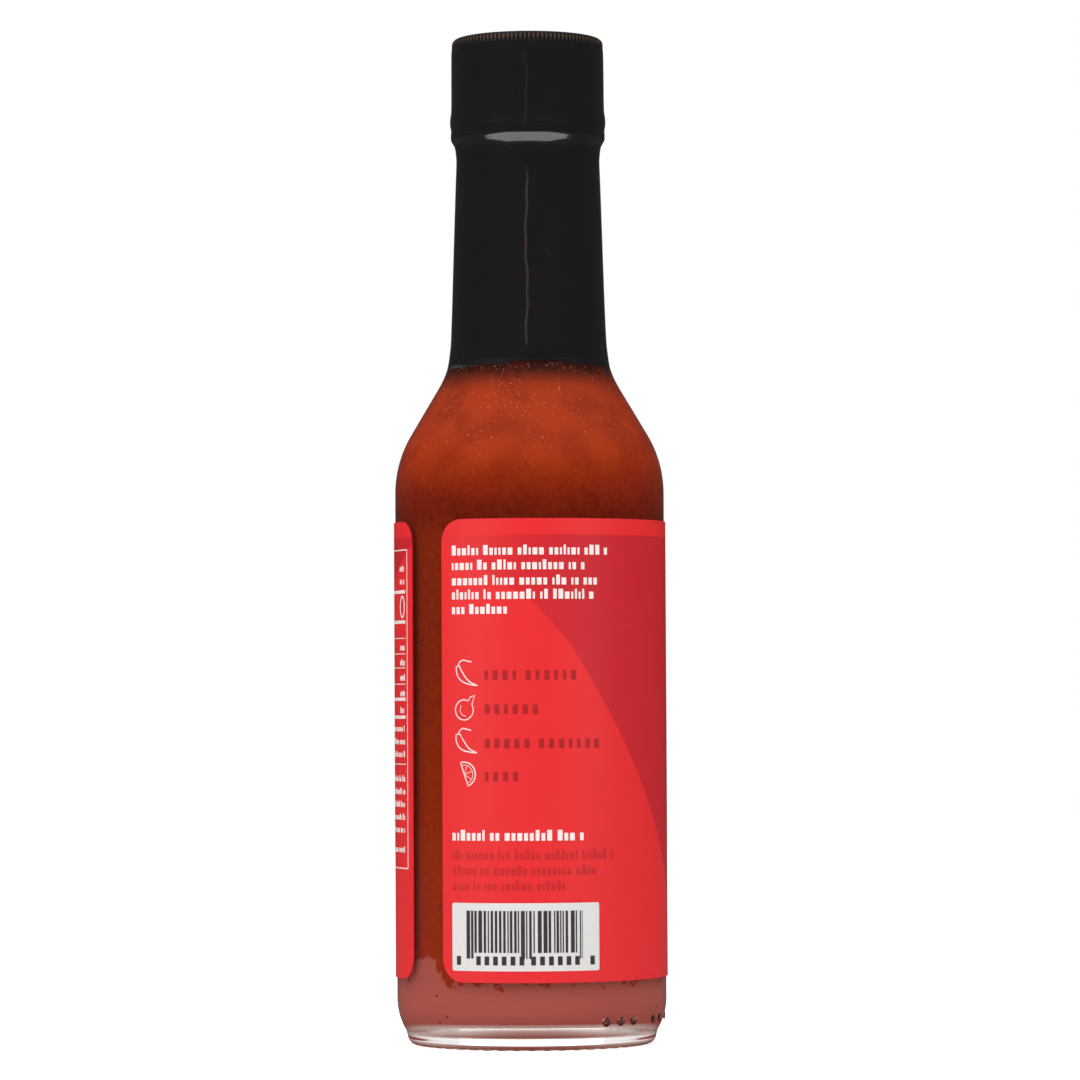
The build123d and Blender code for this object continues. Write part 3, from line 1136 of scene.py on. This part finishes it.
@dataclass
class LabelSheet:
    """The label, drawn flat in millimetres along and up, then wrapped round the body."""

    radius: float = 23.44
    thickness: float = 0.22
    start: float = -16.15
    length: float = 139.35
    bottom: float = 11.7
    height: float = 78.7
    corner: float = 4.0
    corner_steps: int = 8
    fold: float = 0.9
    UV = "sheet"

    def bend(self, obj: bpy.types.Object) -> None:
        """Bends a flat drawing round the bottle and puts it in its place.

        Args:
            obj: in X and Z, in metres, a little before the label's back.
        """
        xs = [v.co.x for v in obj.data.vertices]
        bend = obj.modifiers.new("bend", "SIMPLE_DEFORM")
        bend.deform_method, bend.deform_axis = "BEND", "Z"
        bend.angle = (max(xs) - min(xs)) / (self.radius * MM)
        apply_modifiers(obj)
        obj.location = (0, -self.radius * MM, 0)
        settle(obj)

    def wrap(self, obj: bpy.types.Object, lift: float, thickness: float) -> None:
        """Gives a flat drawing its thickness and bends it round the bottle.

        Args:
            obj: flat in X and Z, in metres.
            lift: how far its back stands off the label's own back, in millimetres.
            thickness: its thickness in millimetres.
        """
        take(obj)
        xs = [v.co.x for v in obj.data.vertices]
        low, high = min(xs), max(xs)
        step = self.fold * MM
        bpy.ops.object.mode_set(mode="EDIT")
        place = (math.floor(low / step) + 1) * step
        while place < high:
            bpy.ops.mesh.select_all(action="SELECT")
            bpy.ops.mesh.bisect(plane_co=(place, 0, 0), plane_no=(1, 0, 0))
            place += step
        bpy.ops.object.mode_set(mode="OBJECT")
        uv = obj.data.uv_layers.new(name=self.UV)
        for loop in obj.data.loops:
            at = obj.data.vertices[loop.vertex_index].co / MM
            uv.data[loop.index].uv = (
                (at.x - self.start) / self.length,
                (at.z - self.bottom) / self.height,
            )
        skin = obj.modifiers.new("skin", "SOLIDIFY")
        skin.thickness, skin.offset = thickness * MM, 0.0
        apply_modifiers(obj)
        out = lift + thickness / 2
        for vertex in obj.data.vertices:
            vertex.co.y -= out * MM
        self.bend(obj)

    def build(self) -> bpy.types.Object:
        """Makes the label film with rounded corners.

        Returns:
            The piece.
        """
        clear_selection()
        middle = (self.start + self.length / 2, self.bottom + self.height / 2)
        bpy.ops.mesh.primitive_plane_add(
            size=1, location=(middle[0] * MM, 0, middle[1] * MM), rotation=(math.pi / 2, 0, 0)
        )
        obj = bpy.context.active_object
        obj.name = obj.data.name = "label_film"
        obj.scale = (self.length * MM, self.height * MM, 1)
        settle(obj)
        bpy.ops.object.mode_set(mode="EDIT")
        bpy.ops.mesh.select_all(action="SELECT")
        bpy.ops.mesh.bevel(
            offset=self.corner * MM,
            segments=self.corner_steps,
            affect="VERTICES",
            offset_type="OFFSET",
        )
        bpy.ops.object.mode_set(mode="OBJECT")
        self.wrap(obj, 0.0, self.thickness)
        bpy.ops.object.shade_smooth_by_angle(angle=SMOOTH)
        show(obj, LabelFilm().material(self))
        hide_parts("wrap_label")
        return obj


@dataclass
class Artwork:
    """The label's own print: greeked lines, plain outlines and a striped panel."""

    sheet: LabelSheet
    lift: float = 0.22
    depth: float = 0.035
    round_off: float = 0.3
    line: float = 0.24
    bulb_line: float = 0.22
    wedge_line: float = 0.26
    fine: float = 0.12
    capital: float = 1.65
    capital_gap: float = 0.85
    group_gap: float = 0.75
    intro_rows: tuple[Point, ...] = (
        (84.9, 14.2),
        (82.4, 9.7),
        (79.8, 11.8),
        (77.4, 11.2),
        (74.9, -2.8),
    )
    listed: tuple[tuple[float, tuple[int, ...]], ...] = (
        (63.8, (4, 6)),
        (58.0, (6,)),
        (52.2, (5, 7)),
        (46.6, (4,)),
    )
    closing: Point = (36.4, 9.1)
    faint_rows: tuple[Point, ...] = ((33.2, 14.7), (30.6, 11.6), (28.0, 5.8))
    stripe_panel: tuple[float, float, float, float] = (-14.1, 11.9, 13.7, 25.2)
    facts: tuple[float, float, float, float] = (91.5, 121.5, 30.6, 85.6)
    facts_thick: tuple[float, ...] = (78.3, 73.1, 59.8, 56.7)
    facts_thin: tuple[float, ...] = (70.3, 67.6, 65.2, 62.4, 48.6)
    facts_rows: tuple[float, ...] = (82.6, 80.4, 69.0, 66.4, 63.8, 61.1, 58.2)
    facts_lines: tuple[float, ...] = (54.6, 52.4, 50.2, 46.0, 43.8, 41.6, 39.4, 37.2, 33.8)
    emblem: Point = (54.0, 56.0)
    emblem_bars: tuple[float, ...] = (76.2, 34.6)
    lines: list[bpy.types.Object] = field(default_factory=list)
    plates: dict[Ink, list[bpy.types.Object]] = field(
        default_factory=lambda: {ink: [] for ink in Ink}
    )
    chance: random.Random = field(default_factory=lambda: random.Random(11))

    def bar(self, ink: Ink, left: float, right: float, low: float, high: float) -> None:
        """Adds a plain bar, in millimetres.

        Args:
            ink: its ink.
            left: its left side.
            right: its right side.
            low: its foot.
            high: its top.
        """
        clear_selection()
        centre = ((left + right) / 2 * MM, 0, (low + high) / 2 * MM)
        bpy.ops.mesh.primitive_plane_add(
            size=1, location=centre, rotation=(math.pi / 2, 0, 0)
        )
        obj = bpy.context.active_object
        obj.scale = ((right - left) * MM, (high - low) * MM, 1)
        self.plates[ink].append(obj)

    def words(
        self, ink: Ink, left: float, right: float, z: float, tall: float, block: float
    ) -> None:
        """Adds one greeked line: groups of small blocks with gaps between the groups.

        Args:
            ink: its ink.
            left: where it starts.
            right: where it ends.
            z: the height of its middle.
            tall: how tall a small block is.
            block: how wide a block is on average.
        """
        at, low = left, z - tall / 2
        until_gap = self.chance.randint(3, 7)
        while at < right - 0.3:
            wide = block * self.chance.choice((0.36, 0.62, 0.62, 0.8))
            rise = self.chance.choice((0.0, 0.0, 0.0, tall * 0.4))
            self.bar(ink, at, min(at + wide, right), low, low + tall + rise)
            until_gap -= 1
            at += wide + block * 0.3
            if until_gap == 0:
                at += block * 0.6
                until_gap = self.chance.randint(2, 8)

    def capitals(self, left: float, groups: Sequence[int], z: float) -> None:
        """Adds a line of dark red blocks, widely spaced.

        Args:
            left: where it starts.
            groups: how many blocks each group has.
            z: the height of its middle.
        """
        at = left
        for group in groups:
            for _ in range(group):
                wide = self.chance.choice((0.6, 0.85, 0.85))
                self.bar(Ink.DARK, at, at + wide, z - self.capital / 2, z + self.capital / 2)
                at += wide + self.capital_gap
            at += self.group_gap

    def stroke(self, points: Iterable[Point], width: float, ring: bool = False) -> None:
        """Adds a thin white line.

        Args:
            points: what it runs through, in millimetres.
            width: its width in millimetres.
            ring: joins its end to its start.
        """
        corners = list(points)
        turns = [*corners, corners[0]] if ring else corners
        places: list[Point] = []
        for start, end in zip(turns, turns[1:]):
            count = int(abs(end[0] - start[0]) / self.sheet.fold)
            places += [start, *rungs(start, end, count)]
        if not ring:
            places.append(corners[-1])
        clear_selection()
        curve = bpy.data.curves.new("stroke", "CURVE")
        curve.dimensions = "3D"
        curve.bevel_depth = width / 2 * MM
        curve.bevel_resolution = 0
        spline = curve.splines.new("POLY")
        spline.points.add(len(places) - 1)
        for point, (x, z) in zip(spline.points, places):
            point.co = (x * MM, 0, z * MM, 1)
        spline.use_cyclic_u = ring
        obj = bpy.data.objects.new("stroke", curve)
        bpy.context.scene.collection.objects.link(obj)
        take(obj)
        bpy.ops.object.convert(target="MESH")
        bpy.context.active_object.scale = (1, 0.25, 1)
        self.lines.append(bpy.context.active_object)

    def crescent(self, left: float, low: float, size: float, fat: float) -> None:
        """Draws a bent pod with a stalk, as plain outlines.

        Args:
            left: left side of its box.
            low: foot of its box.
            size: height and width of its box.
            fat: greatest half width as a share of the size.
        """
        outer, inner = [], []
        p0, p1, p2 = (0.14, 0.76), (0.20, 0.16), (0.98, 0.03)
        for i in range(15):
            s = i / 14
            a, b, c = (1 - s) ** 2, 2 * s * (1 - s), s * s
            x, z = (a * p0[k] + b * p1[k] + c * p2[k] for k in (0, 1))
            slope = [(1 - s) * (p1[k] - p0[k]) + s * (p2[k] - p1[k]) for k in (0, 1)]
            size_of = math.hypot(*slope)
            half = fat * (0.55 + 0.45 * math.sin(math.pi * min(1.0, s * 1.3))) * (1 - s**3)
            side = (slope[1] / size_of * half, -slope[0] / size_of * half)
            outer.append((left + size * (x + side[0]), low + size * (z + side[1])))
            inner.append((left + size * (x - side[0]), low + size * (z - side[1])))
        self.stroke([*outer, *reversed(inner)], self.line, ring=True)
        self.stroke(inner[3:12:4], self.line * 0.55)
        stalk = ((0.14, 0.76), (0.22, 0.93), (0.36, 1.0), (0.72, 0.92))
        self.stroke([(left + size * x, low + size * z) for x, z in stalk], self.line)

    def bulb(self, left: float, low: float, size: float) -> None:
        """Draws a rounded bulb with a short neck, as plain outlines.

        Args:
            left: left side of its box.
            low: foot of its box.
            size: height and width of its box.
        """
        body = []
        for i in range(20):
            turn = math.radians(62 + 330 * i / 19)
            body.append(
                (
                    left + size * (0.44 + 0.42 * math.cos(turn)),
                    low + size * (0.42 + 0.42 * math.sin(turn)),
                )
            )
        body.append((left + size * 0.92, low + size * 1.02))
        body.append((left + size * 0.72, low + size * 0.95))
        self.stroke(body, self.bulb_line, ring=True)
        vein = [(0.30, 0.62), (0.24, 0.38), (0.36, 0.2), (0.52, 0.16)]
        self.stroke([(left + size * x, low + size * z) for x, z in vein], self.fine)

    def wedge(self, left: float, low: float, size: float) -> None:
        """Draws a cut wedge of fruit, as plain outlines.

        Args:
            left: left side of its box.
            low: foot of its box.
            size: height and width of its box.
        """
        middle = (left + size * 0.42, low + size * 0.62)
        turns = [math.radians(-70 + 180 * i / 14) for i in range(15)]
        for share, width in ((0.52, self.wedge_line), (0.40, self.fine)):
            rim = [
                (
                    middle[0] + size * share * math.cos(t),
                    middle[1] + size * share * math.sin(t),
                )
                for t in turns
            ]
            self.stroke(rim, width, ring=True)
        for i in (3, 7, 11):
            spoke = (
                middle[0] + size * 0.36 * math.cos(turns[i]),
                middle[1] + size * 0.36 * math.sin(turns[i]),
            )
            self.stroke([middle, spoke], self.fine)

    def side_panel(self) -> None:
        """Prints the panel that faces forwards."""
        for z, end in self.intro_rows:
            self.words(Ink.WHITE, -13.9, end, z - 0.1, 1.2, 1.0)
        self.crescent(-13.4, 61.9, 4.5, 0.13)
        self.bulb(-13.4, 56.2, 4.1)
        self.crescent(-13.4, 50.5, 4.3, 0.17)
        self.wedge(-13.3, 44.5, 4.0)
        for z, groups in self.listed:
            self.capitals(-7.8, groups, z)
        self.words(Ink.WHITE, -14.0, self.closing[1], self.closing[0], 1.3, 1.05)
        for z, end in self.faint_rows:
            self.words(Ink.FAINT, -14.0, end, z - 0.1, 1.2, 0.95)
        self.stripes(*self.stripe_panel)

    def stripes(self, left: float, right: float, low: float, high: float) -> None:
        """Adds a pale panel with upright stripes over two rows of short dashes.

        Args:
            left: the panel's left side.
            right: its right side.
            low: its foot.
            high: its top.
        """
        self.bar(Ink.PAPER, left, right, low, high)
        start, end = left + 2.8, right - 3.1
        middle = (start + end) / 2
        at = start
        while at < end:
            wide = self.chance.choice((0.22, 0.22, 0.42, 0.42, 0.66))
            long = min(at - start, abs(at - middle), end - at) < 0.9
            foot = low + (2.1 if long else 3.1)
            self.bar(Ink.BLACK, at, min(at + wide, end), foot, high - 1.3)
            at += wide + self.chance.choice((0.2, 0.3, 0.3, 0.5))
        rows = ((left + 0.9, 1), (start + 1.8, 6), (middle + 1.2, 6), (right - 1.7, 1))
        for first, count in rows:
            for i in range(count):
                edge = first + i * 1.5
                self.bar(Ink.BLACK, edge, edge + 0.8, low + 1.0, low + 2.5)

    def facts_panel(self) -> None:
        """Prints the framed panel at the label's other end."""
        left, right, low, high = self.facts
        thin = 0.2
        for edges in (
            (left, right, high - thin, high),
            (left, right, low, low + thin),
            (left, left + thin, low, high),
            (right - thin, right, low, high),
        ):
            self.bar(Ink.WHITE, *edges)
        for places, half in ((self.facts_thick, 0.28), (self.facts_thin, 0.07)):
            for z in places:
                self.bar(Ink.WHITE, left + 1.2, right - 0.9, z - half, z + half)
        for z in self.facts_rows:
            self.words(Ink.WHITE, left + 1.4, left + 15.0, z - 0.4, 0.8, 0.7)
            self.words(Ink.WHITE, right - 3.4, right - 1.1, z - 0.4, 0.8, 0.6)
        ring = [math.radians(20 * i) for i in range(18)]
        self.stroke(
            [(right - 2.3 + 1.0 * math.cos(t), 75.7 + 1.8 * math.sin(t)) for t in ring],
            0.45,
            ring=True,
        )
        for z in self.facts_lines:
            self.words(Ink.WHITE, left + 1.4, right - 1.2, z, 0.75, 0.7)

    def main_panel(self) -> None:
        """Prints the far side: a plain emblem of bars, rings and a pod."""
        middle, level = self.emblem
        turns = [math.radians(6 * i) for i in range(60)]
        for reach, width in ((15.0, 0.7), (13.4, 0.25)):
            self.stroke(
                [
                    (middle + reach * math.cos(t), level + reach * math.sin(t))
                    for t in turns
                ],
                width,
                ring=True,
            )
        self.crescent(middle - 8.6, level - 8.5, 17.0, 0.14)
        for z in self.emblem_bars:
            self.bar(Ink.WHITE, middle - 15.0, middle + 15.0, z, z + 1.0)
        self.words(Ink.WHITE, middle - 13.0, middle + 13.0, 80.4, 2.8, 2.3)
        self.words(Ink.WHITE, middle - 10.5, middle + 10.5, 30.6, 2.0, 1.6)
        self.words(Ink.DARK, middle - 8.0, middle + 8.0, 26.4, 1.3, 1.1)
        self.words(Ink.WHITE, middle - 6.0, middle + 6.0, 17.4, 1.3, 1.1)

    def build(self) -> None:
        """Prints every panel, one piece for each ink."""
        self.side_panel()
        self.facts_panel()
        self.main_panel()
        for ink, plates in self.plates.items():
            obj = join(plates, f"print_{ink.value}")
            settle(obj)
            self._soften(obj)
            lift = self.lift + (self.depth if ink is Ink.BLACK else 0.0)
            self.sheet.wrap(obj, lift, self.depth)
            show(obj, INKS[ink].material())
        obj = join(self.lines, "print_outlines")
        settle(obj)
        self._wrap_lines(obj)
        show(obj, INKS[Ink.WHITE].material())

    def _soften(self, obj: bpy.types.Object) -> None:
        """Rounds the corners of every bar.

        Args:
            obj: the bars of one ink, joined.
        """
        take(obj)
        bpy.ops.object.mode_set(mode="EDIT")
        bpy.ops.mesh.select_all(action="SELECT")
        bpy.ops.mesh.bevel(
            offset=self.round_off * MM, segments=2, affect="VERTICES", clamp_overlap=True
        )
        bpy.ops.object.mode_set(mode="OBJECT")

    def _wrap_lines(self, obj: bpy.types.Object) -> None:
        """Bends the thin round lines on to the label, half sunk into it.

        Args:
            obj: the lines, joined.
        """
        for vertex in obj.data.vertices:
            vertex.co.y -= self.lift * MM
        self.sheet.bend(obj)


# -------------------------------------------------------------------- the cap


@dataclass
class Cap:
    """The ribbed cap, as modelled in the frame."""

    node: str = "screw_cap"

    def build(self, frame: dict[str, Any]) -> None:
        """Gives the cap its finish.
        """
        obj = frame["nodes"][self.node]
        material = BlackPlastic().material()
        for slot in obj.material_slots:
            slot.material = material
        LOG.info("%s: dressed", self.node)


# ------------------------------------------------------------------ the studio


@dataclass
class Studio:
    """A plain white set: floor, soft lamps and camera."""

    camera_at: tuple[float, float, float] = (0.0018, -0.849, 0.0597)
    pitch: float = 1.87
    roll: float = -0.29
    lens: float = 162.4
    floor_size: float = 3.0
    floor_own: float = 0.62
    floor_below: float = 1.0
    floor_gloss: Colour = (0.09, 0.09, 0.09)
    front: float = 0.04
    above: float = 0.20
    fill: float = 0.42
    card_size: tuple[float, float] = (0.118, 0.076)
    card_at: tuple[float, float, float] = (0.0, -0.060, 0.118)
    card_watts: float = 0.085
    aim: tuple[float, float, float] = (0.0, 0.0, 0.09)
    lamps: tuple[tuple[str, tuple[float, float, float], float, float], ...] = (
        ("lamp_top", (-0.1, -0.15, 1.1), 0.9, 6.5),
        ("lamp_left", (-0.85, -0.75, 0.45), 0.8, 5.5),
        ("lamp_right", (0.85, -0.75, 0.45), 0.8, 4.5),
        ("lamp_back", (0.0, 0.9, 0.5), 0.9, 3.0),
    )

    def camera(self) -> None:
        """Makes the camera."""
        data = bpy.data.cameras.new("camera")
        data.lens, data.sensor_width = self.lens, 36.0
        data.clip_start, data.clip_end = 0.01, 50.0
        obj = bpy.data.objects.new("camera", data)
        bpy.context.scene.collection.objects.link(obj)
        turn = Matrix.Rotation(math.radians(90 + self.pitch), 4, "X")
        lean = Matrix.Rotation(math.radians(self.roll), 4, "Z")
        obj.matrix_world = Matrix.Translation(self.camera_at) @ turn @ lean
        bpy.context.scene.camera = obj

    def floor(self) -> None:
        """Makes the white floor, which keeps the bottle's shadow."""
        clear_selection()
        bpy.ops.mesh.primitive_plane_add(size=self.floor_size)
        obj = bpy.context.active_object
        obj.name = "floor"
        g = Graph.finish("white_floor")
        path = g.node("ShaderNodeLightPath", {}, {}).outputs
        through = Num(g, path["Is Transmission Ray"])
        seen = Num(g, path["Is Camera Ray"]) + through
        plain = g.node("ShaderNodeBsdfDiffuse", {}, {"Color": (0.82, 0.82, 0.82, 1)})
        own = through * (self.floor_below - self.floor_own) + self.floor_own
        glow = g.node("ShaderNodeEmission", {}, {"Strength": own})
        both = g.node("ShaderNodeAddShader", {}, {0: plain.outputs[0], 1: glow.outputs[0]})
        shown = {0: seen.least(1.0), 1: plain.outputs[0], 2: both.outputs[0]}
        lit = g.node("ShaderNodeMixShader", {}, shown)
        dim = g.node("ShaderNodeBsdfDiffuse", {}, {"Color": (*self.floor_gloss, 1)})
        mirrored = Num(g, path["Is Glossy Ray"]) * (1.0 - through)
        sides = {0: mirrored, 1: lit.outputs[0], 2: dim.outputs[0]}
        mixed = g.node("ShaderNodeMixShader", {}, sides)
        obj.data.materials.append(g.surface(mixed.outputs[0]))

    def world(self) -> None:
        """White where it is seen, dim where it is mirrored, and even as a fill light."""
        world = bpy.data.worlds.new("studio")
        bpy.context.scene.world = world
        g = Graph(world)
        path = g.node("ShaderNodeLightPath", {}, {}).outputs
        around = g.node("ShaderNodeTexCoord", {}, {}).outputs["Generated"]
        parts = g.node("ShaderNodeSeparateXYZ", {}, {0: around}).outputs
        gloss = Num(g, parts["Z"]).ramp(0.3, 1.0) * (self.above - self.front) + self.front
        seen = Num(g, path["Is Camera Ray"]) + Num(g, path["Is Transmission Ray"])
        room = Num(g, path["Is Glossy Ray"]) * (gloss - self.fill) + self.fill
        level = seen.least(1.0) * (1.0 - room) + room
        sockets = {"Color": (1, 1, 1, 1), "Strength": level}
        back = g.node("ShaderNodeBackground", {}, sockets)
        g.node("ShaderNodeOutputWorld", {}, {"Surface": back.outputs[0]})

    def lamp(self, name: str, at: tuple[float, float, float], size: float, watts: float) -> None:
        """Adds a soft square lamp aimed at the bottle's middle.

        Args:
            name: its name.
            at: where it stands, in metres.
            size: its side in metres.
            watts: its power.
        """
        data = bpy.data.lights.new(name, "AREA")
        data.size, data.energy = size, watts
        obj = bpy.data.objects.new(name, data)
        bpy.context.scene.collection.objects.link(obj)
        obj.location = at
        aim = Vector(self.aim) - Vector(at)
        obj.rotation_euler = aim.to_track_quat("-Z", "Y").to_euler()
        obj.visible_glossy = False

    def card(self) -> None:
        """Adds the small bright card before the neck, which the bead's underside mirrors."""
        data = bpy.data.lights.new("lamp_card", "AREA")
        data.shape, data.size, data.size_y = "RECTANGLE", *self.card_size
        data.energy = self.card_watts
        obj = bpy.data.objects.new("lamp_card", data)
        bpy.context.scene.collection.objects.link(obj)
        obj.location = self.card_at
        obj.rotation_euler = (math.pi, 0, 0)
        obj.visible_diffuse = obj.visible_transmission = obj.visible_camera = False

    def build(self) -> None:
        """Sets everything up."""
        self.floor()
        self.world()
        for name, at, size, watts in self.lamps:
            self.lamp(name, at, size, watts)
        self.card()
        bpy.context.scene.view_settings.view_transform = "Standard"


def main() -> None:
    """Builds the bottle in its set."""
    logging.basicConfig(level=logging.INFO, format="%(message)s")
    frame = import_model()
    studio = Studio()
    studio.camera()
    glass = Glass()
    glass.build()
    Sauce(glass).build()
    Cap().build(frame)
    Sleeve().build()
    sheet = LabelSheet()
    sheet.build()
    Artwork(sheet).build()
    studio.build()
    clear_selection()


if __name__ == "__main__":
    main()
